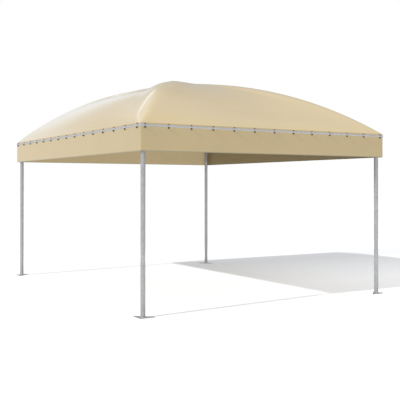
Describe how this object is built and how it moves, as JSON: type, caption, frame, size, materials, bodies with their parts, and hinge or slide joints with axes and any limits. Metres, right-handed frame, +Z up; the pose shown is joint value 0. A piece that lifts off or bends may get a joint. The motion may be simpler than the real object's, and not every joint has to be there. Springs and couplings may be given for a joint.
{
  "type": "dome-roof gazebo",
  "caption": "Rectangular open-sided gazebo: fabric dome on crossed arches, straight valance, both tied to a pale eaves tube, round posts on triangular base plates.",
  "frame": {"origin": "on the floor, under the middle of the canopy", "axes": "+Z up; X along the front side, to the right seen from the front; +Y to the back, along the longer sides"},
  "size_m": [4.0366, 5.0366, 3.257],
  "materials": {
    "membrane": "coated polyester membrane, soft satin",
    "galvanised_steel": "hot-dip galvanised, dull with a faint spangle",
    "eaves_tube": "pale galvanised tube, smoother than the posts",
    "tie_plastic": "dark matt ball ties"
  },
  "bodies": {
    "root": {"base_plate_front_left": "galvanised_steel", "base_plate_front_right": "galvanised_steel", "base_plate_back_right": "galvanised_steel", "base_plate_back_left": "galvanised_steel", "post_front_left": "galvanised_steel", "post_front_right": "galvanised_steel", "post_back_right": "galvanised_steel", "post_back_left": "galvanised_steel", "head_bracket_front_left": "galvanised_steel", "head_bracket_front_right": "galvanised_steel", "head_bracket_back_right": "galvanised_steel", "head_bracket_back_left": "galvanised_steel", "eaves_beam_front": "eaves_tube", "eaves_beam_right": "eaves_tube", "eaves_beam_back": "eaves_tube", "eaves_beam_left": "eaves_tube", "arch_front_left": "galvanised_steel", "arch_front_right": "galvanised_steel", "arch_back_right": "galvanised_steel", "arch_back_left": "galvanised_steel", "crown_hub": "galvanised_steel", "roof_front": "membrane", "roof_right": "membrane", "roof_back": "membrane", "roof_left": "membrane", "valance_front": "membrane", "valance_right": "membrane", "valance_back": "membrane", "valance_left": "membrane", "eaves_sleeve_front_left": "eaves_tube", "eaves_sleeve_front_right": "eaves_tube", "eaves_sleeve_back_right": "eaves_tube", "eaves_sleeve_back_left": "eaves_tube"}
  },
  "joints": []
}
